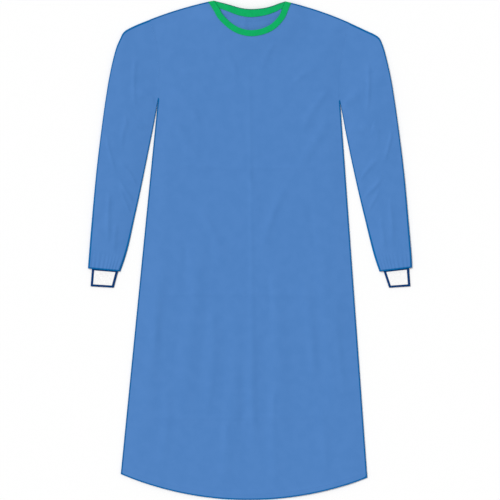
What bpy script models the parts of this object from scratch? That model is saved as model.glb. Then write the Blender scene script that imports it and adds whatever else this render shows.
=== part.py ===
# Surgical gown laid out flat on its back, front side up.
# Metres. +X is the wearer's left, +Y runs up to the neck, +Z is up off the surface.
# The origin is the middle of the gown's footprint, on the surface that it lies on.
# "right" and "left" are the wearer's, so the right side is at -X.

import math
from collections import namedtuple

import bmesh
import bpy
import numpy as np

MM = 0.001

# Cloth wall, and the gap that parts two pieces at a seam
CLOTH = 1.0 * MM
GAP = 0.3 * MM
STEP = CLOTH + GAP

# One side of the body: neck point, shoulder line, armhole, armpit and hem corner, in millimetres.
# The shoulder line drops by slope * t + curve * t * t at t out from the neck point.
Side = namedtuple("Side", "sign neck_x neck_y slope curve tip_x armpit_x armpit_y hem_x hem_y")
RIGHT = Side(-1, -90, 623, 0.195, 0.00062, -250, -230, 377, -323, -560)
LEFT = Side(1, 88, 621, 0.216, 0.00071, 250, 225, 372, 293, -569)

ARMHOLE_BOW = 9 * MM  # how far the armhole seam curves in towards the chest
HEM_LOWEST = (-28 * MM, -624 * MM)  # the hem is one arc through this point and its two corners

# Neck edge of the front and of the back, from the right neck point to the left one, in millimetres
Point = namedtuple("Point", "x y")
FRONT_NECK = [
    Point(-90, 623), Point(-77, 604), Point(-67, 587), Point(-45, 566), Point(-22, 553.5), Point(4, 549),
    Point(32, 554), Point(55, 566), Point(73, 586), Point(81, 604), Point(88, 621),
]
BACK_NECK = [
    Point(-90, 623), Point(-66, 617), Point(-45, 611), Point(-22, 604.5), Point(4, 602),
    Point(34, 604.5), Point(56, 610), Point(72, 616), Point(88, 621),
]

# Back opening: the two back panels lap over each other from neck to hem.
# The right panel is the inner one. Each free edge is straight, from its x at the neck to its x at the hem.
INNER_FREE_X = (74 * MM, 118 * MM)
OUTER_FREE_X = (-48 * MM, -105 * MM)
FREE_EDGE_FADE = 37 * MM  # how far beside the outer panel's edge the inner one takes to come down

# Green binding folded round the neck edge
BINDING_FRONT = 15 * MM
BINDING_BACK = 20 * MM  # at the centre of the back; it narrows to the front's width at the neck points
BINDING_SET_IN = STEP  # the panel's edge stops this far inside the fold
BACK_FLAT = 22 * MM  # width of the even strip of the back panels under the binding
BACK_DROP = 9 * MM  # and how far past it they take to come down

# Heights of the front panel's underside
FRONT_RISE = 2.9 * MM  # over most of the body
COLLAR_RISE = 6.7 * MM  # round the front neck edge, over the lapped back and its tapes
NECK_POINT_RISE = 4 * STEP  # at the neck points, where it lies on the back's binding
COLLAR_FLAT = 20 * MM  # width of the even strip under the binding
COLLAR_FADE = 70 * MM
EDGE_FADE = 45 * MM

# Soft folds of the front, each a ridge from one end to the other, in millimetres
Fold = namedtuple("Fold", "x0 y0 x1 y1 half_width height")
FRONT_FOLDS = [
    Fold(-205, 345, -95, 170, 22, 1.6),
    Fold(203, 335, 110, 185, 20, 1.4),
    Fold(-118, 110, -178, -520, 36, 1.9),
    Fold(-28, -70, -52, -640, 32, 1.4),
    Fold(58, 40, 84, -640, 36, 1.9),
    Fold(172, 60, 222, -470, 30, 1.7),
    Fold(-232, -60, -258, -480, 26, 1.2),
    Fold(-70, 420, 40, 330, 26, 0.9),
]

# Hook and loop tapes that close the neck, between the two back panels
TAPE_CENTRE = (-34 * MM, 557 * MM)
TAPE_SIZE = (25 * MM, 26 * MM)
TAPE_FADE = 25 * MM
TAPE_CLEAR = 4 * MM

# Sleeve sections from the armhole to the wrist, in millimetres. The top edge is a fold, the under edge a seam.
Section = namedtuple("Section", "top_x top_y under_x under_y")
RIGHT_SLEEVE = [
    Section(-288, 560.5, -233, 358), Section(-314, 546, -236, 340), Section(-324.5, 528, -240, 318),
    Section(-337, 496, -246.5, 284), Section(-353, 425, -261, 212), Section(-369.5, 315, -276.5, 136),
    Section(-384, 195, -290.5, 72), Section(-396.5, 62, -303, 14), Section(-402.5, -12, -313, -22),
    Section(-405, -46, -324, -53.5),
]
LEFT_SLEEVE = [
    Section(287, 550, 228, 354), Section(317.5, 535, 231.5, 336), Section(328.5, 520, 235.5, 314),
    Section(339.5, 485, 242, 280), Section(354.5, 416, 257, 208), Section(371, 305, 273.5, 134),
    Section(385.5, 188, 289, 70), Section(397.5, 58, 302.5, 14), Section(403.5, -12, 312.5, -22),
    Section(405, -44, 323.5, -54),
]
SLEEVE_LOFT = 3.0 * MM  # how far the upper layer stands off the lower one
SLEEVE_END_LOFT = 3.1 * MM  # at the wrist, round the cuff
GATHERS = 9  # soft gathers across the sleeve's upper layer, where it is sewn to the narrower cuff
GATHER_HEIGHT = 0.9 * MM
GATHER_REACH = 0.1  # how far they run up the sleeve, as a share of its length

# Knit cuffs: corners of what shows below the sleeve's end, in millimetres
Cuff = namedtuple("Cuff", "out_x out_y in_x in_y out_low_x out_low_y in_low_x in_low_y")
RIGHT_CUFF = Cuff(-395, -47, -329.5, -52.5, -398.5, -91.5, -340.5, -95)
LEFT_CUFF = Cuff(397.5, -45, 333.5, -52.5, 401, -91.5, 347.5, -95)
CUFF_TUCK = 8 * MM  # length hidden inside the sleeve
RIBS = 20  # ribs across each face
RIB_HEIGHT = 0.35 * MM

# Rows of the body panels: shares of the armhole from the shoulder down, then even steps down the side seam.
# The armhole is straight between these shares in the panels and in the sleeves, so that both keep the gap.
ARMHOLE_SHARES = np.array([0, 0.04, 0.086, 0.12, 0.165, 0.225, 0.3, 0.4, 0.53, 0.7, 0.85, 1])
SIDE_ROWS = 11
SHOULDER_COLUMNS = 7
NECK_COLUMNS = {"front": 24, "inner": 16, "outer": 14}
SLEEVE_RINGS = 17
SLEEVE_COLUMN = 0.032  # spacing across a sleeve's upper layer, as a share of its width

GREEN = (0.006, 0.431, 0.110)
BLUE = (0.084, 0.231, 0.546)
WHITE = (0.86, 0.87, 0.86)


def smooth(t):
    """0 below t = 0, 1 above t = 1, and an even curve between them."""
    t = np.clip(t, 0.0, 1.0)
    return t * t * (3.0 - 2.0 * t)


def metres(rows):
    """A table's rows of millimetres as an array of metres."""
    return np.array(rows, float) * MM


def evenly(path, shares):
    """Points at these shares, 0 to 1, of a path's length."""
    steps = np.linalg.norm(np.diff(path, axis=0), axis=1)
    run = np.concatenate([[0.0], np.cumsum(steps)])
    at = np.asarray(shares) * run[-1]
    return np.stack([np.interp(at, run, path[:, k]) for k in range(path.shape[1])], axis=1)


def finer(shares, step):
    """The shares, with each span between two of them cut into even parts of about this step."""
    parts = [np.linspace(a, b, 1 + max(1, round((b - a) / step))) for a, b in zip(shares[:-1], shares[1:])]
    return np.unique(np.concatenate(parts))


def curve_through(points, per_span=16):
    """A smooth curve through the points, closely sampled (Catmull-Rom)."""
    p = np.vstack([2 * points[0] - points[1], points, 2 * points[-1] - points[-2]])
    t = np.linspace(0, 1, per_span, endpoint=False)[:, None]
    spans = [
        0.5 * (2 * b + (c - a) * t + (2 * a - 5 * b + 4 * c - d) * t**2 + (3 * b - a - 3 * c + d) * t**3)
        for a, b, c, d in zip(p[:-3], p[1:-2], p[2:-1], p[3:])
    ]
    return np.vstack([*spans, points[-1:]])


def arc_through(a, b, c, count=121):
    """The arc of the circle through three points, from a by b to c."""
    (ax, ay), (bx, by), (cx, cy) = a, b, c
    d = 2 * (ax * (by - cy) + bx * (cy - ay) + cx * (ay - by))
    sa, sb, sc = ax * ax + ay * ay, bx * bx + by * by, cx * cx + cy * cy
    x = (sa * (by - cy) + sb * (cy - ay) + sc * (ay - by)) / d
    y = (sa * (cx - bx) + sb * (ax - cx) + sc * (bx - ax)) / d
    start, end = math.atan2(ay - y, ax - x), math.atan2(cy - y, cx - x)
    angles = np.linspace(start, end, count)
    radius = math.hypot(ax - x, ay - y)
    return np.stack([x + radius * np.cos(angles), y + radius * np.sin(angles)], axis=1)


def nearest_on(points, path):
    """The point of a path that lies nearest to each point, in plan."""
    a, b = path[:-1], path[1:]
    along = b - a
    flat = points.reshape(-1, 1, 2)
    t = ((flat - a) * along).sum(2) / np.maximum((along**2).sum(1), 1e-18)
    feet = a + np.clip(t, 0, 1)[..., None] * along
    best = np.linalg.norm(flat - feet, axis=2).argmin(1)
    return feet[np.arange(len(best)), best].reshape(points.shape)


def distance_to(points, path):
    """How far each point lies from a path, in plan."""
    return np.linalg.norm(points - nearest_on(points, path), axis=-1)


def shoulder_line(side, count=25):
    """From the neck point out to the top of the armhole."""
    x = np.linspace(side.neck_x, side.tip_x, count)
    t = np.abs(x - side.neck_x)
    return metres(np.stack([x, side.neck_y - side.slope * t - side.curve * t * t], axis=1))


def armhole_bow(share):
    """How far the armhole stands in from the straight line at a share of the way down it."""
    return ARMHOLE_BOW * np.interp(share, ARMHOLE_SHARES, 4 * ARMHOLE_SHARES * (1 - ARMHOLE_SHARES))


def armhole_line(side):
    """From the armpit up to the shoulder line, curving in towards the chest."""
    share = ARMHOLE_SHARES[::-1, None]
    tip, armpit = shoulder_line(side)[-1], metres([side.armpit_x, side.armpit_y])
    line = tip + share * (armpit - tip)
    line[:, :1] -= side.sign * armhole_bow(share)
    return line


HEM = arc_through(
    metres([RIGHT.hem_x, RIGHT.hem_y]), HEM_LOWEST, metres([LEFT.hem_x, LEFT.hem_y])
)
FRONT_NECK_EDGE = curve_through(metres(FRONT_NECK))
BACK_NECK_EDGE = curve_through(metres(BACK_NECK))


def side_line(side):
    """From the hem corner straight up to the armpit."""
    return metres([[side.hem_x, side.hem_y], [side.armpit_x, side.armpit_y]])


def set_in(path, distance, towards):
    """The path moved sideways by a distance, towards +1 (its left) or -1 (its right)."""
    along = np.gradient(path, axis=0)
    along /= np.linalg.norm(along, axis=1, keepdims=True)
    return path + towards * distance * np.stack([-along[:, 1], along[:, 0]], axis=1)


SEWN_EDGES = [line(side) for side in (RIGHT, LEFT) for line in (side_line, armhole_line, shoulder_line)]


def edge_distance(points):
    """How far a point of the front lies from its nearest side, armhole or shoulder seam."""
    return np.min([distance_to(points, line) for line in SEWN_EDGES], axis=0)


def free_edge_x(ends, y):
    """x of a back panel's free edge at height y."""
    neck_y, hem_y = 610 * MM, HEM_LOWEST[1]
    return ends[0] + (ends[1] - ends[0]) * (neck_y - y) / (neck_y - hem_y)


def outer_back_height(points):
    """Underside of the outer back panel: on the surface, and raised by its binding's lower fold at the neck."""
    near = 1 - smooth((distance_to(points, BACK_NECK_EDGE) - BACK_FLAT) / BACK_DROP)
    return STEP * near


def inner_back_height(points):
    """Underside of the inner back panel: over the outer one where they lap, on the surface beside it."""
    foot = nearest_on(points, BACK_NECK_EDGE)
    depth = np.linalg.norm(points - foot, axis=-1)
    # Under the binding the height only changes along the neck edge
    at = points + (foot - points) * (1 - smooth((depth - BACK_FLAT) / (30 * MM)))[..., None]
    edge = free_edge_x(OUTER_FREE_X, at[..., 1])
    lapped = smooth((at[..., 0] - edge + FREE_EDGE_FADE) / (FREE_EDGE_FADE - 3 * MM))
    near = 1 - smooth((depth - BACK_FLAT) / BACK_DROP)
    # It stays clear of the outer panel's own drop, which starts at the same depth
    later = 1 - smooth((depth - BACK_FLAT - BACK_DROP) / (2 * BACK_DROP))
    height = STEP * later + lapped * STEP * (1 + 2 * near)
    return np.maximum(height, 3 * STEP * over_tapes(points))


def over_tapes(points):
    """1 over the neck tapes and their margin, fading to 0 round them."""
    reach = np.abs(points - np.array(TAPE_CENTRE)) - np.array(TAPE_SIZE) / 2 - TAPE_CLEAR
    return np.prod(1 - smooth(reach / TAPE_FADE), axis=-1)


def front_folds(points):
    """Height that the soft folds add: each is a rounded ridge, highest a third of the way along."""
    total = np.zeros(points.shape[:-1])
    for fold in FRONT_FOLDS:
        a, b = metres([fold.x0, fold.y0]), metres([fold.x1, fold.y1])
        along = b - a
        t = ((points - a) @ along) / (along @ along)
        across = np.abs((points - a) @ np.array([-along[1], along[0]])) / np.linalg.norm(along)
        ridge = 1 - smooth(across / (fold.half_width * MM))
        total += fold.height * MM * ridge * smooth(t / 0.3) * (1 - smooth((t - 0.55) / 0.45))
    return total


def back_top(points):
    """Top of whichever back panel a sewn edge of the front lies on."""
    right = points[..., 0] < 0
    return np.where(right, inner_back_height(points), outer_back_height(points)) + CLOTH


def front_height(points):
    """Underside of the front panel: sewn edges on the back, a loose middle, and an even strip round the neck."""
    foot = nearest_on(points, FRONT_NECK_EDGE)
    depth = np.linalg.norm(points - foot, axis=-1)
    loose = smooth(edge_distance(points) / EDGE_FADE)
    sewn = back_top(points) + GAP
    body = sewn + (FRONT_RISE + front_folds(points) - sewn) * loose
    collar = NECK_POINT_RISE + (COLLAR_RISE - NECK_POINT_RISE) * smooth(edge_distance(foot) / EDGE_FADE)
    near = 1 - smooth((depth - COLLAR_FLAT) / (COLLAR_FADE * (1 + loose) / 2))
    return body + (collar - body) * near


def new_material(name, colour, roughness):
    material = bpy.data.materials.new(name)
    material.use_nodes = True
    shader = material.node_tree.nodes["Principled BSDF"]
    shader.inputs["Base Color"].default_value = (*colour, 1)
    shader.inputs["Roughness"].default_value = roughness
    shader.inputs["Metallic"].default_value = 0
    return material


def new_object(name, points, faces, material):
    """A named object from points and faces, with its faces pointing out and its rounds shaded smooth."""
    mesh = bpy.data.meshes.new(name)
    mesh.from_pydata(points.reshape(-1, 3).tolist(), [], faces)
    form = bmesh.new()
    form.from_mesh(mesh)
    bmesh.ops.recalc_face_normals(form, faces=form.faces)
    form.to_mesh(mesh)
    form.free()
    mesh.materials.append(material)
    mesh.shade_smooth()
    mesh.set_sharp_from_angle(angle=math.radians(40))
    made = bpy.data.objects.new(name, mesh)
    bpy.context.scene.collection.objects.link(made)
    return made


def grid_faces(rows, columns, first=0, wrap=False):
    """Quads between the points of a grid, numbered row by row. wrap joins the last column to the first."""
    spans = columns if wrap else columns - 1
    return [
        (
            first + i * columns + j,
            first + i * columns + (j + 1) % columns,
            first + (i + 1) * columns + (j + 1) % columns,
            first + (i + 1) * columns + j,
        )
        for i in range(rows - 1)
        for j in range(spans)
    ]


def patch(bottom, top, right, left):
    """A grid of plan points between four edges: bottom and top run to +X, right and left run up."""
    u = (top[:, 0] - top[0, 0]) / (top[-1, 0] - top[0, 0])
    v = np.concatenate([[0], np.cumsum(np.linalg.norm(np.diff(right, axis=0), axis=1))])
    v = (v / v[-1])[:, None, None]
    hem = evenly(bottom, u)[None]
    u = u[None, :, None]
    across = (1 - u) * right[:, None] + u * left[:, None]
    corners = (1 - v) * ((1 - u) * right[0] + u * left[0]) + v * ((1 - u) * right[-1] + u * left[-1])
    return (1 - v) * hem + v * top[None] + across - corners


def body_edge(side, lower):
    """Points up one edge of a body panel: the side seam, then the armhole, half a gap inside the seam."""
    armhole = armhole_line(side)
    armhole[:, 0] -= side.sign * GAP / 2
    seam = evenly(np.vstack([lower, armhole[0]]), np.linspace(0, 1, SIDE_ROWS + 1))
    return np.vstack([seam[:-1], armhole])


def free_edge(ends, top):
    """Points up a back panel's free edge, from the hem to its end of the neck edge."""
    x = free_edge_x(ends, HEM_LOWEST[1])
    low = np.array([x, np.interp(x, HEM[:, 0], HEM[:, 1])])
    upper = 1 - ARMHOLE_SHARES[::-1] * (RIGHT.neck_y - RIGHT.armpit_y) / (RIGHT.neck_y - RIGHT.hem_y)
    lower = np.linspace(0, upper[0], SIDE_ROWS + 1)[:-1]
    return low + np.concatenate([lower, upper])[:, None] * (top - low)


def neck_and_shoulders(neck, columns, right=True, left=True):
    """The top edge of a panel: a shoulder, the neck edge set in under its binding, and the other shoulder."""
    edge = evenly(set_in(neck, BINDING_SET_IN, -1), np.linspace(0, 1, columns + 1))
    shares = np.linspace(0, 1, SHOULDER_COLUMNS + 1)[1:] ** 1.1
    shoulders = [
        np.vstack([end, evenly(shoulder_line(side), shares)])[1:]
        for side, end in ((RIGHT, edge[0]), (LEFT, edge[-1]))
    ]
    return np.vstack(([shoulders[0][::-1]] if right else []) + [edge] + ([shoulders[1]] if left else []))


def cloth_panel(name, plan, height, material):
    """A cloth wall on a grid of plan points, its underside at the height function."""
    points = np.dstack([plan, height(plan)])
    rows, columns = plan.shape[:2]
    panel = new_object(name, points, grid_faces(rows, columns), material)
    solidify = panel.modifiers.new("wall", "SOLIDIFY")
    solidify.thickness = CLOTH
    solidify.offset = 1 if panel.data.polygons[0].normal.z > 0 else -1
    return panel


def front_panel(material):
    top = neck_and_shoulders(FRONT_NECK_EDGE, NECK_COLUMNS["front"])
    right, left = body_edge(RIGHT, HEM[0]), body_edge(LEFT, HEM[-1])
    top[0], top[-1] = right[-1], left[-1]
    return cloth_panel("front_panel", patch(HEM, top, right, left), front_height, material)


def cut_neck(first_x, last_x):
    """The part of the back's neck edge between two x values."""
    inside = (BACK_NECK_EDGE[:, 0] > first_x) & (BACK_NECK_EDGE[:, 0] < last_x)
    ends = [[x, np.interp(x, BACK_NECK_EDGE[:, 0], BACK_NECK_EDGE[:, 1])] for x in (first_x, last_x)]
    return np.vstack([ends[0], BACK_NECK_EDGE[inside], ends[1]])


INNER_NECK = cut_neck(RIGHT.neck_x * MM, INNER_FREE_X[0])
OUTER_NECK = cut_neck(OUTER_FREE_X[0], LEFT.neck_x * MM)


def inner_back_panel(material):
    """The wearer's right back panel, which laps on the inside."""
    top = neck_and_shoulders(INNER_NECK, NECK_COLUMNS["inner"], left=False)
    right = body_edge(RIGHT, HEM[0])
    top[0] = right[-1]
    left = free_edge(INNER_FREE_X, top[-1])
    hem = HEM[HEM[:, 0] < left[0, 0]]
    plan = patch(np.vstack([hem, left[0]]), top, right, left)
    return cloth_panel("back_panel_right", plan, inner_back_height, material)


def outer_back_panel(material):
    """The wearer's left back panel, which laps on the outside and lies on the surface."""
    top = neck_and_shoulders(OUTER_NECK, NECK_COLUMNS["outer"], right=False)
    left = body_edge(LEFT, HEM[-1])
    top[-1] = left[-1]
    right = free_edge(OUTER_FREE_X, top[0])
    hem = HEM[HEM[:, 0] > right[0, 0]]
    plan = patch(np.vstack([right[0], hem]), top, right, left)
    return cloth_panel("back_panel_left", plan, outer_back_height, material)


def binding(name, neck, columns, height, first_cut, last_cut, material):
    """A tape folded round a neck edge: a U-shaped wall, open towards the cloth, at the cloth's own height."""
    stations = columns + 1
    edge = evenly(neck, np.linspace(0, 1, stations))
    widths = np.full(stations, BINDING_FRONT)
    if neck is not FRONT_NECK_EDGE:
        from_middle = np.abs(edge[:, 0]) / (RIGHT.neck_x * -MM)
        widths = BINDING_BACK - (BINDING_BACK - BINDING_FRONT) * smooth(from_middle)
    inward = set_in(edge, 1.0, -1) - edge
    blend = np.linspace(0, 1, stations)[:, None]
    for cut, weight in ((first_cut, 1 - blend), (last_cut, blend)):
        if cut is not None:
            weight = smooth((weight - 0.8) / 0.2)
            inward = (1 - weight) * inward + weight * cut
    inward /= np.linalg.norm(inward, axis=1, keepdims=True)
    low, high = -STEP, 2 * CLOTH + GAP
    # Each corner of the section: distance in from the fold, a share of the width, height off the cloth
    section = [
        (0, 1, low), (0.35 * MM, 0, low), (0, 0, low + 0.8 * MM), (0, 0, high - 0.8 * MM), (0.35 * MM, 0, high),
        (0, 1, high), (0, 1, high - CLOTH), (CLOTH, 0, high - CLOTH), (CLOTH, 0, low + CLOTH), (0, 1, low + CLOTH),
    ]
    rings = []
    for depth, share, lift in section:
        plan = edge + inward * (depth + share * widths[:, None])
        rings.append(np.column_stack([plan, height(plan) + lift]))
    points = np.stack(rings, axis=1)
    count = len(section)
    faces = grid_faces(stations, count, wrap=True)
    for start in (0, (stations - 1) * count):
        # The U's end is capped by three quads: the lower leg, the fold and the upper leg
        faces += [
            tuple(start + k for k in (0, 1, 8, 9)),
            tuple(start + k for k in (1, 2, 3, 4, 7, 8)),
            tuple(start + k for k in (4, 5, 6, 7)),
        ]
    return new_object(name, points, faces, material)


def bindings(material):
    """The neck binding in its three runs: round the front, along the inner back panel and along the outer one."""
    out = {side: shoulder_line(side)[2] - shoulder_line(side)[0] for side in (RIGHT, LEFT)}
    out = {side: line / np.linalg.norm(line) for side, line in out.items()}
    runs = (
        ("neck_binding_front", FRONT_NECK_EDGE, "front", front_height, out[RIGHT], out[LEFT]),
        ("neck_binding_back_right", INNER_NECK, "inner", inner_back_height, out[RIGHT], None),
        ("neck_binding_back_left", OUTER_NECK, "outer", outer_back_height, None, out[LEFT]),
    )
    for name, neck, columns, height, first_cut, last_cut in runs:
        binding(name, neck, NECK_COLUMNS[columns], height, first_cut, last_cut, material)


def tape(name, level, material):
    """A flat square of fastening tape lying at a height between the back panels."""
    bpy.ops.mesh.primitive_cube_add(size=1, location=(*TAPE_CENTRE, level + CLOTH / 2))
    made = bpy.context.object
    made.name = made.data.name = name
    made.scale = (*TAPE_SIZE, CLOTH)
    bpy.ops.object.transform_apply(location=False, rotation=False, scale=True)
    corners = made.modifiers.new("rounded corners", "BEVEL")
    corners.width = 0.25 * MM
    corners.segments = 1
    made.data.materials.append(material)
    return made


def tube(name, outer, inner, material):
    """A hollow wall between two stacks of rings, closed across the wall at both ends."""
    rings, count = outer.shape[:2]
    inside = rings * count
    faces = grid_faces(rings, count, wrap=True) + grid_faces(rings, count, first=inside, wrap=True)
    for start in (0, (rings - 1) * count):
        for j in range(count):
            k = (j + 1) % count
            faces.append((start + j, start + k, inside + start + k, inside + start + j))
    return new_object(name, np.concatenate([outer, inner]), faces, material)


def sleeve_profile(share, along):
    """Height of a sleeve's upper layer over its closed thickness, from the fold (share 0) to the seam (1)."""
    soft = (0.8 + 0.9 * share) * (1 - share**2.2)
    square = 1 - share**40
    wrist = smooth((along - 0.84) / 0.12)
    loft = SLEEVE_LOFT * smooth(along / 0.25)
    # Rounded waves, a little uneven in width, that die out up the sleeve
    phase = GATHERS * share + 0.25 * np.sin(8.2 * share + 0.6)
    waves = GATHER_HEIGHT * np.sin(np.pi * phase) ** 2 * smooth((along - 1 + GATHER_REACH) / GATHER_REACH)
    return loft * soft * (1 - wrist) + (SLEEVE_END_LOFT * wrist + waves) * square


def sleeve(name, side, table, material):
    """A flattened tube: flat below, its upper layer standing off it, round along the fold and thin at the seam."""
    rows = np.vstack([[*shoulder_line(side)[-1], *armhole_line(side)[0]], metres(table)])
    stations = 0.5 - 0.5 * np.cos(np.linspace(0, np.pi, SLEEVE_RINGS))
    path = evenly(curve_through(rows), stations)
    shares = finer(ARMHOLE_SHARES, SLEEVE_COLUMN)
    closed = 2 * CLOTH + GAP
    outer, inner = [], []
    for along, (top_x, top_y, under_x, under_y) in zip(stations, path):
        top, under = np.array([top_x, top_y]), np.array([under_x, under_y])
        width = np.linalg.norm(under - top)
        seamward = 1 - smooth(along / 0.3)
        radius = (closed + sleeve_profile(0.0, along)) / 2
        upper = closed + sleeve_profile(shares, along)
        # Distance from the fold and height, going over the top to the seam and back below
        fold_out = [(0, radius), (0.3 * radius, 1.7 * radius)]
        fold_back = [(radius, 0), (0.3 * radius, 0.3 * radius)]
        over = [(radius + s * (width - radius), z) for s, z in zip(shares, upper)]
        under_side = [(s * width, 0) for s in ARMHOLE_SHARES[:1:-1]]
        ring = np.array(fold_out + over + under_side + fold_back)
        small = radius - CLOTH
        fold_out = [(CLOTH, radius), (CLOTH + 0.3 * small, radius + 0.7 * small)]
        fold_back = [(radius, CLOTH), (CLOTH + 0.3 * small, radius - 0.7 * small)]
        over = [(min(radius + s * (width - radius), width - CLOTH), z - CLOTH) for s, z in zip(shares, upper)]
        under_side = [(min(s * width, width - CLOTH), CLOTH) for s in ARMHOLE_SHARES[:1:-1]]
        lining = np.array(fold_out + over + under_side + fold_back)
        for stack, shape in ((outer, ring), (inner, lining)):
            share = shape[:, :1] / width
            plan = top + share * (under - top)
            plan[:, :1] -= side.sign * seamward * armhole_bow(share)
            stack.append(np.column_stack([plan, shape[:, 1]]))
    outer, inner = np.array(outer), np.array(inner)
    for stack in (outer, inner):
        stack[0, :, 0] += side.sign * GAP / 2
    return tube(name, outer, inner, material)


def cuff(name, corners, material):
    """A flattened tube of rib knit: flat below, ribs raised along it on its upper face, its root in the sleeve."""
    c = Cuff(*metres(corners))
    root_out, root_in = np.array([c.out_x, c.out_y]), np.array([c.in_x, c.in_y])
    low_out, low_in = np.array([c.out_low_x, c.out_low_y]), np.array([c.in_low_x, c.in_low_y])
    length = np.linalg.norm(low_out - root_out)
    steps = 2 * RIBS
    across = np.linspace(0, 1, steps + 1)
    crest = RIB_HEIGHT * (np.arange(steps + 1) % 2)
    outer, inner = [], []
    for reach in (-CUFF_TUCK, 0, 6 * MM, 14 * MM, length):
        t = reach / length
        a = root_out + t * (low_out - root_out)
        b = root_in + t * (low_in - root_in)
        width = np.linalg.norm(b - a)
        floor = STEP * (1 - smooth(reach / (12 * MM)))
        rim = CLOTH / width
        below = np.array([1, 0.66, 0.33, 0])
        for stack, inset, top, bottom in (
            (outer, 0, 2 * CLOTH + GAP + crest, 0),
            (inner, rim, np.full(steps + 1, STEP), CLOTH),
        ):
            shares = np.concatenate([np.clip(across, inset, 1 - inset), np.clip(below, inset, 1 - inset)])
            lift = floor + np.concatenate([top, np.full(len(below), bottom)])
            stack.append(np.column_stack([a + shares[:, None] * (b - a), lift]))
    return tube(name, np.array(outer), np.array(inner), material)


def build():
    for old in list(bpy.data.objects):
        bpy.data.objects.remove(old)
    cloth = new_material("blue_nonwoven", BLUE, 0.75)
    knit = new_material("white_knit", WHITE, 0.9)
    edging = new_material("green_binding", GREEN, 0.7)
    tape_white = new_material("tape_white", WHITE, 0.8)
    outer_back_panel(cloth)
    inner_back_panel(cloth)
    front_panel(cloth)
    sleeve("sleeve_right", RIGHT, RIGHT_SLEEVE, cloth)
    sleeve("sleeve_left", LEFT, LEFT_SLEEVE, cloth)
    cuff("cuff_right", RIGHT_CUFF, knit)
    cuff("cuff_left", LEFT_CUFF, knit)
    bindings(edging)
    tape("neck_tape_loop", STEP, tape_white)
    tape("neck_tape_hook", 2 * STEP, tape_white)


build()
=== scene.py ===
# Looks of a surgical gown laid out flat on its back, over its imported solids.
# Metres, as in the solids: +X is the wearer's left, +Y runs up to the neck, +Z is up off the floor.
import math

import bmesh
import bpy
import numpy as np
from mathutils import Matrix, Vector


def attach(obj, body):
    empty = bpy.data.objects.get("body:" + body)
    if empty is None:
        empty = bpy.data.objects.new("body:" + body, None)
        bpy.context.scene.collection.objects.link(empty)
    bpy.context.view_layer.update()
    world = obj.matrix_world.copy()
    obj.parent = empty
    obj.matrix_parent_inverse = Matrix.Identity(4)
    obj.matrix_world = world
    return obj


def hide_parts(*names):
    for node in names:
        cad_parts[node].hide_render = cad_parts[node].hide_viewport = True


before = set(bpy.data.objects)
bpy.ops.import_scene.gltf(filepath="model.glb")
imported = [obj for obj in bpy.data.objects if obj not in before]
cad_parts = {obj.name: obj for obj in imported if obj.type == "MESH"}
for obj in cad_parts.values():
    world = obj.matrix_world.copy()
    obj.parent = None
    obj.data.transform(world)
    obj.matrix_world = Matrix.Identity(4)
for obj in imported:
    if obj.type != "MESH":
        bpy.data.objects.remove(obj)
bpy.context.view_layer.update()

mm = 0.001
print("loaded", len(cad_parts), "nodes")

# The garment's flat outline in millimetres, as the solids have it
outline = {
    "right": {"sign": -1, "neck": (-90, 623), "slope": 0.195, "curve": 0.00062, "tipX": -250,
              "armpit": (-230, 377), "hem": (-323, -560)},
    "left": {"sign": 1, "neck": (88, 621), "slope": 0.216, "curve": 0.00071, "tipX": 250,
             "armpit": (225, 372), "hem": (293, -569)},
    "hemLowest": (-28, -624),
    "armholeBow": 9,
    "frontNeck": [(-90, 623), (-77, 604), (-67, 587), (-45, 566), (-22, 553.5), (4, 549),
                  (32, 554), (55, 566), (73, 586), (81, 604), (88, 621)],
    "backNeck": [(-90, 623), (-66, 617), (-45, 611), (-22, 604.5), (4, 602),
                 (34, 604.5), (56, 610), (72, 616), (88, 621)],
    "innerFreeX": (74, 118),  # a back panel's free edge, from its x at the neck to its x at the hem
    "outerFreeX": (-48, -105),
    "innerNeckX": 85.2,  # how far the inner back's neck edge runs, and its tape, up to the front's tape
    "innerTapeX": 87.4,
    "innerTapeEnd": (-7, -17.3),  # the direction of that tape's slanted end
    "neckY": 610,
}
sides = (outline["right"], outline["left"])

# How the layers lie on each other, the same heights as the solids'
layers = {
    "cloth": 1.0 * mm,  # the solids' wall
    "gap": 0.3 * mm,
    "backFlat": 22 * mm,  # the backs' raised strip along the neck, and its slope down
    "backDrop": 9 * mm,
    "neckPull": 30 * mm,  # below the neck strip the lap's step follows the neck edge this far
    "freeEdgeFade": 37 * mm,  # how far the inner back slopes up onto the outer one
    "freeEdgeFlat": 3 * mm,
    "frontRise": 2.9 * mm,  # the front's loose middle, and its strip round the neck
    "collarRise": 6.7 * mm,
    "collarFlat": 20 * mm,
    "collarFade": 70 * mm,
    "edgeFade": 45 * mm,  # from a sewn edge to the loose middle
    "tapeCentre": (-34 * mm, 557 * mm),  # the hook and loop tapes at the nape
    "tapeSize": (25 * mm, 26 * mm),
    "tapeFade": 25 * mm,
    "tapeClear": 4 * mm,
}
layers["step"] = layers["cloth"] + layers["gap"]
layers["neckPointRise"] = 4 * layers["step"]

# The real cloth is thinner than the solids' wall, and thicker where it is sewn or turned up
fabric = {
    "thickness": 0.6 * mm, "atSeams": 1.0 * mm, "seamFade": 6 * mm, "seamGap": 0.04 * mm,
    "hemWidth": 15 * mm, "hemFade": 1.6 * mm, "hemExtra": 0.35 * mm, "overBacks": 0.2 * mm,
}


# Plain curves and distances in plan

def smooth(t):
    t = np.clip(t, 0.0, 1.0)  # an even curve from 0 to 1
    return t * t * (3.0 - 2.0 * t)


def fadeIn(distance, start, reach):
    # 0 up to the start, then an even rise to 1 over the reach
    return smooth((distance - start) / reach)


def metres(rows):  # from millimetres
    return np.array(rows, float) * mm


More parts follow.
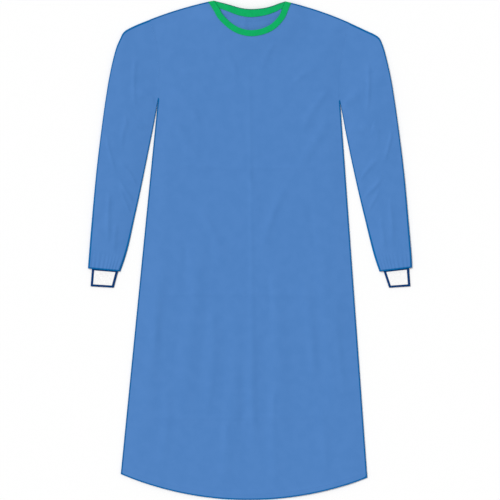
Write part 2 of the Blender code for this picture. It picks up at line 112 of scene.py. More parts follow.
def evenly(path, shares):
    # points at these shares of the path's length
    steps = np.linalg.norm(np.diff(path, axis=0), axis=1)
    run = np.concatenate([[0.0], np.cumsum(steps)])
    at = np.asarray(shares) * run[-1]
    return np.stack([np.interp(at, run, path[:, k]) for k in range(path.shape[1])], axis=1)


def lengthOf(path):
    return float(np.linalg.norm(np.diff(path, axis=0), axis=1).sum())


def curveThrough(points, perSpan=16):
    # Catmull-Rom: each span's cubic leaves a point in the direction of its two neighbours
    p = np.vstack([2 * points[0] - points[1], points, 2 * points[-1] - points[-2]])
    t = np.linspace(0, 1, perSpan, endpoint=False)[:, None]
    spans = [
        0.5 * (2 * b + (c - a) * t + (2 * a - 5 * b + 4 * c - d) * t**2 + (3 * b - a - 3 * c + d) * t**3)
        for a, b, c, d in zip(p[:-3], p[1:-2], p[2:-1], p[3:])
    ]
    return np.vstack([*spans, points[-1:]])


def arcThrough(a, b, c, count=161):
    # the circle through three points, walked from a by b to c
    (ax, ay), (bx, by), (cx, cy) = a, b, c
    d = 2 * (ax * (by - cy) + bx * (cy - ay) + cx * (ay - by))
    sa, sb, sc = ax * ax + ay * ay, bx * bx + by * by, cx * cx + cy * cy
    x = (sa * (by - cy) + sb * (cy - ay) + sc * (ay - by)) / d
    y = (sa * (cx - bx) + sb * (ax - cx) + sc * (bx - ax)) / d
    angles = np.linspace(math.atan2(ay - y, ax - x), math.atan2(cy - y, cx - x), count)
    radius = math.hypot(ax - x, ay - y)
    return np.stack([x + radius * np.cos(angles), y + radius * np.sin(angles)], axis=1)


def nearestOn(points, path):
    # the foot of each point on the nearest of the path's straight spans
    a, along = path[:-1], np.diff(path, axis=0)
    flat = points.reshape(-1, 1, 2)
    t = np.clip(((flat - a) * along).sum(2) / np.maximum((along**2).sum(1), 1e-18), 0, 1)
    away = np.hypot(flat[..., 0] - a[:, 0] - t * along[:, 0], flat[..., 1] - a[:, 1] - t * along[:, 1])
    best = away.argmin(1)
    row = np.arange(len(best))
    return (a[best] + t[row, best][:, None] * along[best]).reshape(points.shape)


def distanceTo(points, *paths):
    return np.min([np.linalg.norm(points - nearestOn(points, path), axis=-1) for path in paths], axis=0)


def setIn(path, distance, towards):
    # the path moved sideways, towards +1 (its left) or -1 (its right)
    along = np.gradient(path, axis=0)
    along /= np.linalg.norm(along, axis=1, keepdims=True)
    return path + towards * distance * np.stack([-along[:, 1], along[:, 0]], axis=1)


# The outline's lines

def shoulderLine(side, count=25):
    x = np.linspace(side["neck"][0], side["tipX"], count)
    t = np.abs(x - side["neck"][0])
    return metres(np.stack([x, side["neck"][1] - side["slope"] * t - side["curve"] * t * t], axis=1))


armholeShares = np.array([0, 0.04, 0.086, 0.12, 0.165, 0.225, 0.3, 0.4, 0.53, 0.7, 0.85, 1])


def armholeBow(share):
    # a parabola across the armhole's length, straight between the shares as in the solids
    return outline["armholeBow"] * mm * np.interp(share, armholeShares, 4 * armholeShares * (1 - armholeShares))


def armholeLine(side, shares=armholeShares[::-1]):
    shares = np.asarray(shares)[:, None]
    tip, armpit = shoulderLine(side)[-1], metres(side["armpit"])
    line = tip + shares * (armpit - tip)
    line[:, :1] -= side["sign"] * armholeBow(shares)
    return line


def sideLine(side):
    return metres([side["hem"], side["armpit"]])


hemLine = arcThrough(metres(outline["right"]["hem"]), metres(outline["hemLowest"]), metres(outline["left"]["hem"]))
frontNeckEdge = curveThrough(metres(outline["frontNeck"]))
backNeckEdge = curveThrough(metres(outline["backNeck"]))
frontNeckCoarse = evenly(frontNeckEdge, np.linspace(0, 1, 61))
backNeckCoarse = evenly(backNeckEdge, np.linspace(0, 1, 49))
sewnEdges = [line(side) for side in sides for line in (sideLine, armholeLine, lambda s: shoulderLine(s, 9))]
shoulders = [shoulderLine(side, 9) for side in sides]
hemCoarse = hemLine[::4]


def sewnDistance(points):
    return distanceTo(points, *sewnEdges)


def edgeAttribute(points):
    # how far from the body's outer edges, where the darker strip runs: partly a seam line, partly painted shade
    # where the cloth turns down
    return {"edgeDistance": distanceTo(points, *map(sideLine, sides), *shoulders, hemCoarse)}


def neckDistance(points):
    return distanceTo(points, frontNeckCoarse, backNeckCoarse)


def freeEdgeX(ends, y):
    # a free edge's x at each y, straight from the neck to the hem
    top, bottom = outline["neckY"] * mm, outline["hemLowest"][1] * mm
    return (ends[0] + (ends[1] - ends[0]) * (top - y) / (top - bottom)) * mm


# Heights of the solids' undersides at a plan point

def outerBackHeight(points):
    # the binding's lower fold lifts the neck edge by one step
    near = 1 - fadeIn(distanceTo(points, backNeckCoarse), layers["backFlat"], layers["backDrop"])
    return layers["step"] * near


def overTapes(points):
    away = np.abs(points - np.array(layers["tapeCentre"])) - np.array(layers["tapeSize"]) / 2
    return np.prod(1 - fadeIn(away, layers["tapeClear"], layers["tapeFade"]), axis=-1)


def innerBackHeight(points):
    # over the outer panel where they lap, down on the floor beside it, and up over the tapes
    step, flat, drop = layers["step"], layers["backFlat"], layers["backDrop"]
    foot = nearestOn(points, backNeckCoarse)
    depth = np.linalg.norm(points - foot, axis=-1)
    at = points + (foot - points) * (1 - fadeIn(depth, flat, layers["neckPull"]))[..., None]
    edge = freeEdgeX(outline["outerFreeX"], at[..., 1])
    lapped = fadeIn(at[..., 0], edge - layers["freeEdgeFade"], layers["freeEdgeFade"] - layers["freeEdgeFlat"])
    near = 1 - fadeIn(depth, flat, drop)
    later = 1 - fadeIn(depth, flat + drop, 2 * drop)
    return np.maximum(step * later + lapped * step * (1 + 2 * near), 3 * step * overTapes(points))


# Soft folds of the front, as in the solids: ends, half width and height in millimetres
frontFolds = [
    (-205, 345, -95, 170, 22, 1.6), (203, 335, 110, 185, 20, 1.4), (-118, 110, -178, -520, 36, 1.9),
    (-28, -70, -52, -640, 32, 1.4), (58, 40, 84, -640, 36, 1.9), (172, 60, 222, -470, 30, 1.7),
    (-232, -60, -258, -480, 26, 1.2), (-70, 420, 40, 330, 26, 0.9),
]


def foldHeight(points):
    # each fold is a rounded ridge along its line, highest a third of the way along
    total = np.zeros(points.shape[:-1])
    for x0, y0, x1, y1, halfWidth, height in frontFolds:
        a, along = metres((x0, y0)), metres((x1 - x0, y1 - y0))
        t = ((points - a) @ along) / (along @ along)
        across = np.abs((points - a) @ np.array([-along[1], along[0]])) / np.linalg.norm(along)
        ridge = 1 - smooth(across / (halfWidth * mm))
        total += height * mm * ridge * smooth(t / 0.3) * (1 - fadeIn(t, 0.55, 0.45))
    return total


def frontHeight(points):
    # sewn edges lie on the back, the middle is loose, and an even strip runs round the neck
    foot = nearestOn(points, frontNeckCoarse)
    depth = np.linalg.norm(points - foot, axis=-1)
    loose = smooth(sewnDistance(points) / layers["edgeFade"])
    backTop = np.where(points[..., 0] < 0, innerBackHeight(points), outerBackHeight(points)) + layers["cloth"]
    sewn = backTop + layers["gap"]
    body = sewn + (layers["frontRise"] + foldHeight(points) - sewn) * loose
    rise = layers["collarRise"] - layers["neckPointRise"]
    collar = layers["neckPointRise"] + rise * smooth(sewnDistance(foot) / layers["edgeFade"])
    near = 1 - fadeIn(depth, layers["collarFlat"], layers["collarFade"] * (1 + loose) / 2)
    return body + (collar - body) * near


# Creases that the solids don't hold. Each runs from one point to another with a slight bend, and its
# section is a narrow rounded ridge, or a trough where its height is below zero: millimetres throughout.
frontCreases = [
    # x0, y0, x1, y1, bend, half width, height
    (-4, 530, 6, -618, 3, 7, 0.42),  # pressed line down the middle, from its pack
    (-214, 214, 214, 206, -4, 6, 0.34),  # pressed lines across, from its pack
    (-248, -112, 246, -118, 5, 6, 0.36),
    (-300, -418, 276, -410, -5, 7, 0.32),
    (-196, 408, -120, 300, 9, 10, 0.9),
    (-176, 452, -96, 372, 7, 8, 0.6),
    (198, 402, 128, 286, -8, 10, 0.85),
    (170, 462, 92, 396, -6, 8, 0.5),
    (-70, 520, -30, 418, 5, 9, 0.5),
    (66, 524, 22, 432, -5, 8, 0.45),
    (-136, 120, -64, -60, 14, 13, 0.8),
    (96, 170, 30, -30, -12, 12, 0.8),
    (-30, 250, 24, 60, 10, 12, 0.6),
    (-214, -20, -236, -300, -8, 12, 0.9),
    (-96, -130, -112, -430, 10, 14, 0.95),
    (6, -160, 20, -520, -9, 15, 0.9),
    (132, -60, 158, -360, 8, 13, 0.95),
    (214, -90, 238, -380, -6, 11, 0.8),
    (-206, -330, -222, -560, 5, 12, 0.7),
    (60, -330, 66, -610, -6, 12, 0.75),
    (-60, -400, -74, -614, 6, 13, 0.7),
    (176, -380, 186, -580, 5, 12, 0.7),
    (-160, 30, -150, -140, -6, 9, -0.5),
    (40, -40, 48, -250, 6, 10, -0.55),
    (150, 120, 168, -20, -5, 9, -0.45),
    (-20, -300, -26, -470, 5, 10, -0.5),
]
backCreases = [
    (-160, 500, -176, -560, 6, 8, 0.5),
    (164, 500, 176, -560, -6, 8, 0.5),
    (-214, 214, 214, 206, -4, 7, 0.34),
    (-248, -112, 246, -118, 5, 7, 0.36),
    (-300, -418, 276, -410, -5, 7, 0.32),
    (-190, 400, -96, 250, 9, 12, 0.8),
    (188, 392, 100, 246, -8, 12, 0.75),
    (-130, 150, -70, -90, 12, 13, 0.7),
    (104, 130, 60, -70, -10, 12, 0.65),
    (-206, -60, -226, -330, -8, 13, 0.85),
    (-90, -200, -104, -500, 9, 14, 0.85),
    (30, -150, 44, -480, -8, 14, 0.8),
    (150, -100, 176, -420, 8, 13, 0.9),
    (220, -230, 236, -460, -5, 11, 0.7),
]
creasing = {
    "body": 1.7, "sleeve": 1.6,  # how much higher the creases are than in their tables
    "bodyEnds": (0.18, 0.3), "sleeveEnds": (0.2, 0.45), "wobble": 0.25,  # fading ends, and uneven width
    "frontSlack": (0.3 * mm, 0.4), "backSlack": (0.12 * mm, 1.7),  # height and phase of the slack cloth's waves
    "backLift": 0.1 * mm, "backMost": 0.9 * mm,
    # where the cloth becomes free to crease: start and reach
    "fromSeams": (3 * mm, 24 * mm), "fromNeck": (24 * mm, 22 * mm), "fromHem": (14 * mm, 40 * mm), "atHem": 0.35,
}


def crease(x, y, dx, dy, bend, halfWidth, ends, wobble=0.0, phase=0.0):
    # bell-shaped section across a line that bows by its bend, fading in and out at its ends
    run = np.hypot(dx, dy)
    t = (x * dx + y * dy) / run**2
    across = (y * dx - x * dy) / run - bend * np.sin(np.pi * np.clip(t, 0, 1))
    bell = np.exp(-((across / (halfWidth * (1 + wobble * np.sin(7 * t + phase)))) ** 2))
    return bell * smooth(t / ends[0]) * smooth((1 - t) / ends[1])


def creaseHeight(points, creases):
    total = np.zeros(points.shape[:-1])
    for row in creases:
        x0, y0, x1, y1, bend, halfWidth, height = metres(row)
        shape = crease(points[..., 0] - x0, points[..., 1] - y0, x1 - x0, y1 - y0, bend, halfWidth,
                       creasing["bodyEnds"], creasing["wobble"], row[0])
        total += creasing["body"] * height * shape
    return total


def slackHeight(points, size, phase):
    # broad uneven waves of slack cloth: three crossed sines
    x, y = points[..., 0], points[..., 1]
    waves = np.sin(23 * x + 5 * y + phase) + np.sin(-11 * x + 17 * y + 2.1 * phase)
    return size * (waves + 0.7 * np.sin(31 * x - 21 * y + 0.6 * phase)) / 2.7


# Meshes

def grid(rows, columns, first=0, wrapColumns=False):
    # quads between the points of a grid that is numbered row by row
    i = np.arange(rows - 1)[:, None]
    j = np.arange(columns if wrapColumns else columns - 1)[None, :]
    k = (j + 1) % columns
    corners = [i * columns + j, i * columns + k, (i + 1) * columns + k, (i + 1) * columns + j]
    return first + np.stack(np.broadcast_arrays(*corners), axis=-1).reshape(-1, 4)


def sharpenRims(mesh):
    # an edge with one face only is an open rim, and stays sharp when a wall is added
    corners = np.empty(len(mesh.loops), np.int32)
    mesh.loops.foreach_get("edge_index", corners)
    sharp = np.empty(len(mesh.edges), bool)
    mesh.edges.foreach_get("use_edge_sharp", sharp)
    mesh.edges.foreach_set("use_edge_sharp", sharp | (np.bincount(corners, minlength=len(sharp)) == 1))


def addObject(name, data):
    thing = bpy.data.objects.new(name, data)
    bpy.context.scene.collection.objects.link(thing)
    return thing


def makePiece(name, points, faces, material, attributes=None, sharpAngle=50):
    mesh = bpy.data.meshes.new(name)
    mesh.from_pydata(points.reshape(-1, 3), [], faces if isinstance(faces, list) else faces.tolist())
    for label, values in (attributes or {}).items():
        layer = mesh.attributes.new(label, "FLOAT", "POINT")
        layer.data.foreach_set("value", np.asarray(values, np.float32).ravel())
    mesh.materials.append(material)
    mesh.shade_smooth()
    mesh.set_sharp_from_angle(angle=math.radians(sharpAngle))
    sharpenRims(mesh)
    return addObject(name, mesh)


def shell(name, plan, bottom, top, material, attributes):
    # two grids of the same plan, the lower one turned over, joined round their rims
    rows, columns = plan.shape[:2]
    count = rows * columns
    points = np.concatenate([np.dstack([plan, top]).reshape(-1, 3), np.dstack([plan, bottom]).reshape(-1, 3)])
    index = np.arange(count).reshape(rows, columns)
    rim = np.concatenate([index[0, :], index[1:, -1], index[-1, -2::-1], index[-2:0:-1, 0]])
    after = np.roll(rim, -1)
    sides = np.stack([rim + count, after + count, after, rim], axis=1)
    faces = np.concatenate([grid(rows, columns), grid(rows, columns, count)[:, ::-1], sides])
    doubled = {label: np.concatenate([values.ravel(), values.ravel()]) for label, values in attributes.items()}
    return makePiece(name, points, faces, material, doubled)


# Materials

def newMaterial(name):
    material = bpy.data.materials.new(name)
    material.use_nodes = True
    tree = material.node_tree
    place = tree.nodes.new("ShaderNodeTexCoord").outputs["Object"]
    return material, tree, place, tree.nodes["Principled BSDF"]


def setFinish(shader, roughness, specular=0.5, sheen=0.0):
    for label, value in (("Roughness", roughness), ("Specular IOR Level", specular), ("Sheen Weight", sheen)):
        shader.inputs[label].default_value = value


def mathNode(tree, operation, first, second=None):
    node = tree.nodes.new("ShaderNodeMath")
    node.operation = operation
    for socket, value in zip(node.inputs, (first, second)):
        if isinstance(value, (int, float)):
            socket.default_value = value
        elif value is not None:
            tree.links.new(value, socket)
    return node.outputs[0]


def mapped(tree, vector, scale, turn=0.0):
    node = tree.nodes.new("ShaderNodeMapping")
    node.inputs["Rotation"].default_value = (0, 0, math.radians(turn))
    node.inputs["Scale"].default_value = scale
    tree.links.new(vector, node.inputs["Vector"])
    return node.outputs[0]


def noise(tree, vector, scale, detail=2.0, stretch=(1, 1, 1)):
    node = tree.nodes.new("ShaderNodeTexNoise")
    node.inputs["Scale"].default_value = scale
    node.inputs["Detail"].default_value = detail
    tree.links.new(mapped(tree, vector, stretch), node.inputs["Vector"])
    return node.outputs["Fac"]


def ramp(tree, value, low, high, toLow=0, toHigh=1):
    node = tree.nodes.new("ShaderNodeMapRange")
    node.interpolation_type = "SMOOTHSTEP"
    for label, number in (("From Min", low), ("From Max", high), ("To Min", toLow), ("To Max", toHigh)):
        node.inputs[label].default_value = number
    tree.links.new(value, node.inputs["Value"])
    return node.outputs["Result"]


def mixColours(tree, factor, first, second):
    node = tree.nodes.new("ShaderNodeMix")
    node.data_type = "RGBA"
    tree.links.new(factor, node.inputs["Factor"])
    for socket, value in ((node.inputs["A"], first), (node.inputs["B"], second)):
        if isinstance(value, tuple):
            socket.default_value = (*value, 1)
        else:
            tree.links.new(value, socket)
    return node.outputs["Result"]


def bump(tree, height, depth, strength, under=None):
    node = tree.nodes.new("ShaderNodeBump")
    node.inputs["Strength"].default_value = strength
    node.inputs["Distance"].default_value = depth
    tree.links.new(height, node.inputs["Height"])
    if under:
        tree.links.new(under, node.inputs["Normal"])
    return node.outputs["Normal"]


def crossedWaves(tree, vector, pitch, turn):
    # the product of two sines across each other, turned in plan: a lattice of round dots
    split = tree.nodes.new("ShaderNodeSeparateXYZ")
    tree.links.new(mapped(tree, vector, (2 * math.pi / pitch,) * 3, turn), split.inputs[0])
    return mathNode(tree, "MULTIPLY", *(mathNode(tree, "SINE", split.outputs[axis]) for axis in "XY"))


def attribute(tree, label):
    node = tree.nodes.new("ShaderNodeAttribute")
    node.attribute_name = label
    return node.outputs["Fac"]


def alongEdge(tree, width, solidShare):
    # 1 within the border of this width beside an edge, fading to 0 over its last part
    return ramp(tree, attribute(tree, "edgeDistance"), solidShare * width, width, 1, 0)


# In all of these a bump is its depth and its strength, a pattern is its pitch and its turn in degrees,
# and a border is its width and the share of it that is solid
nonwoven = {
    "colour": (0.066, 0.211, 0.527), "light": (0.069, 0.216, 0.536), "dark": (0.063, 0.206, 0.518),
    "border": (3.8 * mm, 0.75), "borderColour": (0.002, 0.126, 0.362),  # darker strip along every outer edge: partly a seam line, partly painted shade where the cloth turns down
    "borderShine": 0.1,  # the strip is flat and dull
    "clouds": 38, "fibres": 900, "fibreStretch": (1, 0.35, 1), "fibreBump": (0.15 * mm, 0.3),
    "dots": (2.2 * mm, 45), "dotBump": (0.12 * mm, 0.6), "crumples": 55, "crumpleBump": (0.6 * mm, 0.1),
    "roughness": 0.68, "sheen": 0.12, "sheenRoughness": 0.5, "specular": 0.25,
}


def nonwovenMaterial():
    # point-bonded nonwoven: pressed dots, loose fibres across them, slight cloudiness
    material, tree, place, shader = newMaterial("blue_nonwoven_cloth")
    clouds = ramp(tree, noise(tree, place, nonwoven["clouds"], 4), 0.35, 0.65)
    cloudy = mixColours(tree, clouds, nonwoven["dark"], nonwoven["light"])
    fibres = noise(tree, place, nonwoven["fibres"], 3, nonwoven["fibreStretch"])
    fibred = mixColours(tree, ramp(tree, fibres, 0.3, 0.7, 0, 0.5), cloudy, nonwoven["colour"])
    # the darker strip by the edges: partly a seam line, partly painted shade where the cloth turns down
    edge = alongEdge(tree, *nonwoven["border"])
    tree.links.new(mixColours(tree, edge, fibred, nonwoven["borderColour"]), shader.inputs["Base Color"])
    dots = ramp(tree, crossedWaves(tree, place, *nonwoven["dots"]), 0.25, 0.75, 1, 0)
    crumple = bump(tree, noise(tree, place, nonwoven["crumples"], 5), *nonwoven["crumpleBump"])
    fibreBump = bump(tree, fibres, *nonwoven["fibreBump"], crumple)
    tree.links.new(bump(tree, dots, *nonwoven["dotBump"], fibreBump), shader.inputs["Normal"])
    setFinish(shader, nonwoven["roughness"])
    shader.inputs["Sheen Roughness"].default_value = nonwoven["sheenRoughness"]
    shine = ramp(tree, edge, 0, 1, 1, nonwoven["borderShine"])
    for socket, key in (("Sheen Weight", "sheen"), ("Specular IOR Level", "specular")):
        tree.links.new(mathNode(tree, "MULTIPLY", shine, nonwoven[key]), shader.inputs[socket])
    return material


# Rib knit: white crests, painted shade low between the ribs and on the turned sides, small loops along the ribs
# and a navy overlocked border
knit = {
    # the second colour is painted shade, for where the rib crest is low
    "colours": ((0.985, 0.985, 0.98), (0.945, 0.945, 0.95)), "grooveShade": 0.7,
    "border": (4.8 * mm, 0.85), "borderColour": (0.001, 0.041, 0.165),
    "pattern": (1.3 * mm, 38), "patternBump": (0.25 * mm, 0.5), "grain": 1500, "grainBump": (0.12 * mm, 0.35),
    "finish": (0.85, 0.05, 0.06),
}
# Plain-woven tape, a little darker in patches, with painted shade as a dark line along the back tapes' fold
bindingLook = {
    "colours": ((0.002, 0.430, 0.125), (0.002, 0.402, 0.115)), "patches": (60, 4), "patchRange": (0.35, 0.65),
    # painted shade: the darker line by the back tapes' fold
    "border": (2.9 * mm, 0.6), "borderColour": (0.010, 0.170, 0.120),
    "pattern": (0.9 * mm, 20), "patternBump": (0.14 * mm, 0.5), "grain": 1200, "grainBump": (0.1 * mm, 0.3),
    "finish": (0.6, 0.06),
}
# Twisted yarn: fine slanted ridges and small changes of shade
threadLook = {
    "darker": 0.8, "patches": (420,), "patchRange": (0.3, 0.7), "pattern": (0.5 * mm, 30),
    "patternBump": (0.06 * mm, 0.6), "finish": (0.55, 0.1),
}


def textileMaterial(name, look, colours):
    # two close colours (random patches, or the knit's white and its painted shade), a border along the edge, and a
    # raised pattern over a finer grain
    material, tree, place, shader = newMaterial(name)
    if "grooveShade" in look:
        # painted shade on the knit: the second colour where the rib crest is low, between the ribs and on the
        # turned sides
        share = ramp(tree, attribute(tree, "ribCrest"), 0.0, look["grooveShade"], 1, 0)
    else:
        share = ramp(tree, noise(tree, place, *look["patches"]), *look["patchRange"])
    colour = mixColours(tree, share, *colours)
    if "border" in look:
        colour = mixColours(tree, alongEdge(tree, *look["border"]), colour, look["borderColour"])
    tree.links.new(colour, shader.inputs["Base Color"])
    grain = bump(tree, noise(tree, place, look["grain"]), *look["grainBump"]) if "grain" in look else None
    raised = bump(tree, crossedWaves(tree, place, *look["pattern"]), *look["patternBump"], grain)
    tree.links.new(raised, shader.inputs["Normal"])
    setFinish(shader, *look["finish"])
    return material


def threadMaterial(name, colour):
    return textileMaterial(name, threadLook, (colour, tuple(threadLook["darker"] * c for c in colour)))


fastening = {
    "hook": (0.9 * mm, 0.3 * mm), "loop": (0.6 * mm, 0.2 * mm),  # the tufts' spacing and depth
    # the ground's colour is painted shade between the tufts
    "ground": (0.70, 0.71, 0.70), "tips": (0.86, 0.87, 0.86), "roughness": 0.7,
}


def fasteningMaterial(kind):
    # hook or loop tape: a dense field of small tufts on a white ground, with painted shade that makes the ground
    # greyer than the tips
    material, tree, place, shader = newMaterial(f"white_{kind}_tape")
    spacing, depth = fastening[kind]
    tufts = tree.nodes.new("ShaderNodeTexVoronoi")
    tufts.inputs["Scale"].default_value = 1 / spacing
    tree.links.new(place, tufts.inputs["Vector"])
    height = ramp(tree, tufts.outputs["Distance"], 0.1, 0.6, 1, 0)
    # painted shade: the ground colour low between the tufts, the lighter colour on their tips
    colour = mixColours(tree, height, fastening["ground"], fastening["tips"])
    tree.links.new(colour, shader.inputs["Base Color"])
    tree.links.new(bump(tree, height, depth, 0.9), shader.inputs["Normal"])
    setFinish(shader, fastening["roughness"])
    return material


cloth = nonwovenMaterial()
ribKnit = textileMaterial("white_rib_knit", knit, knit["colours"])
wovenTape = textileMaterial("green_woven_tape", bindingLook, bindingLook["colours"])
blueThread = threadMaterial("blue_thread", (0.085, 0.245, 0.580))
edgeThread = threadMaterial("dark_blue_thread", nonwoven["borderColour"])
greenThread = threadMaterial("green_thread", (0.015, 0.520, 0.160))
print("materials made")


# Body panels

panelGrid = {
    "rows": 288, "backRows": 196, "shoulderColumns": 36,
    "neckColumns": {"front": 84, "inner": 64, "outer": 56},
    # closer rows along the hem, for the turned edge, and along the shoulders, as parts of the whole height
    "hemRows": np.array([0, 1.2, 2.4, 8, 14.2, 15.8]) * mm / 1.18,
    "shoulderRows": np.array([4.5, 3, 1.8, 0.8, 0]) * mm / 1.18,
}
backEdge = {
    # along the shoulders a back's turned edge fills the space up to the front, outside the bindings
    "full": 0.8 * mm, "fade": 3.5 * mm, "fromNeck": (15.5 * mm, 2.5 * mm), "below": 0.1 * mm,
    # in the neck opening the inner back's free edge runs beside the front's tape: heights and gaps
    "besideY": metres((601, 606)), "besideGap": metres((0.5, 1.5)),
}


def patch(bottom, top, right, left, v):
    # Coons patch: straight mixes of opposite edges, less the corners' own mix
    u = ((top[:, 0] - top[0, 0]) / (top[-1, 0] - top[0, 0]))[None, :, None]
    v = v[:, None, None]
    hem = evenly(bottom, u[0, :, 0])[None]
    across = (1 - u) * right[:, None] + u * left[:, None]
    corners = (1 - v) * ((1 - u) * right[0] + u * left[0]) + v * ((1 - u) * right[-1] + u * left[-1])
    return (1 - v) * hem + v * top[None] + across - corners


def fineRows(count):
    first, last = panelGrid["hemRows"], 1 - panelGrid["shoulderRows"]
    return np.concatenate([first, np.linspace(first[-1], last[0], count)[1:-1], last])


def bodyEdge(side, lower, v):
    # up the side seam, then the armhole, just inside the seam
    armhole = armholeLine(side)
    armhole[:, 0] -= side["sign"] * fabric["seamGap"] / 2
    return evenly(np.vstack([lower, armhole]), v)


def cutNeck(firstX, lastX):
    # the back's neck edge between two x, given in millimetres
    first, last = firstX * mm, lastX * mm
    inside = backNeckEdge[(backNeckEdge[:, 0] > first) & (backNeckEdge[:, 0] < last)]
    ends = [[x, np.interp(x, backNeckEdge[:, 0], backNeckEdge[:, 1])] for x in (first, last)]
    return np.vstack([ends[0], inside, ends[1]])


innerNeck = cutNeck(outline["right"]["neck"][0], outline["innerNeckX"])
innerTapeNeck = cutNeck(outline["right"]["neck"][0], outline["innerTapeX"])
outerNeck = cutNeck(outline["outerFreeX"][0], outline["left"]["neck"][0])


def topEdge(neck, columns, right=True, left=True):
    # a shoulder, the neck edge set in under its binding, and the other shoulder
    edge = evenly(setIn(neck, layers["step"], -1), np.linspace(0, 1, columns + 1))
    shares = np.concatenate([np.linspace(0, 1, panelGrid["shoulderColumns"])[1:-1], [0.985, 0.993, 1]])
    ends = [
        np.vstack([end, evenly(shoulderLine(side), shares)])[1:]
        for side, end in ((sides[0], edge[0]), (sides[1], edge[-1]))
    ]
    return np.vstack(([ends[0][::-1]] if right else []) + [edge] + ([ends[1]] if left else []))


def clothThickness(plan):
    # thin in the middle, the solids' wall where it is sewn, and a doubled hem
    atSeam = 1 - smooth(sewnDistance(plan) / fabric["seamFade"])
    hem = 1 - fadeIn(distanceTo(plan, hemCoarse), fabric["hemWidth"], fabric["hemFade"])
    thin, extra = fabric["thickness"], fabric["atSeams"] - fabric["thickness"]
    return thin + extra * np.maximum(atSeam, hem), fabric["hemExtra"] * hem


def loosely(plan):
    # how free the cloth is to crease: none along sewn edges and under the binding, less by the hem
    byHem = creasing["atHem"] + (1 - creasing["atHem"]) * fadeIn(distanceTo(plan, hemCoarse), *creasing["fromHem"])
    return (fadeIn(sewnDistance(plan), *creasing["fromSeams"])
            * fadeIn(neckDistance(plan), *creasing["fromNeck"]) * byHem)


def backCloth(plan, height):
    # underside and top of a back panel: the solid's underside, lifted a little at its own creases
    own = creaseHeight(plan, backCreases) + slackHeight(plan, *creasing["backSlack"]) + creasing["backLift"]
    bottom = height(plan) + loosely(plan) * np.clip(own, 0, creasing["backMost"])
    thick, extra = clothThickness(plan)
    top = bottom + thick + 0.5 * extra
    fill = 1 - fadeIn(distanceTo(plan, *shoulders), backEdge["full"], backEdge["fade"])
    fill = fill * fadeIn(neckDistance(plan), *backEdge["fromNeck"])
    return bottom, top + fill * np.maximum(frontHeight(plan) - backEdge["below"] - top, 0)


def frontLayer(plan):
    # the front's upper side, its thickness, and how free it is
    free = loosely(plan)
    thick, extra = clothThickness(plan)
    own = creaseHeight(plan, frontCreases) + slackHeight(plan, *creasing["frontSlack"])
    return frontHeight(plan) + layers["cloth"] + extra + free * own, thick, free


def frontTop(plan):
    return frontLayer(plan)[0]


def frontPanel():
    top = topEdge(frontNeckEdge, panelGrid["neckColumns"]["front"])
    v = fineRows(panelGrid["rows"])
    right, left = bodyEdge(sides[0], hemLine[0], v), bodyEdge(sides[1], hemLine[-1], v)
    top[0], top[-1] = right[-1], left[-1]
    plan = patch(hemLine, top, right, left, v)
    high, thick, free = frontLayer(plan)
    # it never sinks into the backs below it
    inner, outer = backCloth(plan, innerBackHeight)[1], backCloth(plan, outerBackHeight)[1]
    innerReach = freeEdgeX(outline["innerFreeX"], plan[..., 1]) + layers["freeEdgeFlat"]
    below = np.maximum(np.where(plan[..., 0] < innerReach, inner, 0), outer)
    high = np.maximum(high, below + thick + fabric["overBacks"] * free)
    return shell("front_cloth", plan, high - thick, high, cloth, edgeAttribute(plan))


def freeEdge(ends, topPoint, v):
    x = freeEdgeX(ends, outline["hemLowest"][1] * mm)
    low = np.array([x, np.interp(x, hemLine[:, 0], hemLine[:, 1])])
    return low + v[:, None] * (topPoint - low)


def backRightPanel():
    # the inner one
    top = topEdge(innerNeck, panelGrid["neckColumns"]["inner"], left=False)
    v = fineRows(panelGrid["backRows"])
    right = bodyEdge(sides[0], hemLine[0], v)
    top[0] = right[-1]
    left = freeEdge(outline["innerFreeX"], np.array([outline["innerFreeX"][0] * mm, top[-1, 1]]), v)
    tape = frontNeckEdge[frontNeckEdge[:, 0] > 20 * mm]  # the front's tape on the left
    gap = np.interp(left[:, 1], backEdge["besideY"], backEdge["besideGap"])
    left[:, 0] = np.maximum(left[:, 0], np.interp(left[:, 1], tape[:, 1], tape[:, 0]) - gap)
    left[-1] = top[-1]
    plan = patch(np.vstack([hemLine[hemLine[:, 0] < left[0, 0]], left[0]]), top, right, left, v)
    return shell("back_right_cloth", plan, *backCloth(plan, innerBackHeight), cloth, edgeAttribute(plan))


def backLeftPanel():
    # the outer one, which lies on the floor
    top = topEdge(outerNeck, panelGrid["neckColumns"]["outer"], right=False)
    v = fineRows(panelGrid["backRows"])
    left = bodyEdge(sides[1], hemLine[-1], v)
    top[-1] = left[-1]
    right = freeEdge(outline["outerFreeX"], top[0], v)
    plan = patch(np.vstack([right[0], hemLine[hemLine[:, 0] > right[0, 0]]]), top, right, left, v)
    return shell("back_left_cloth", plan, *backCloth(plan, outerBackHeight), cloth, edgeAttribute(plan))


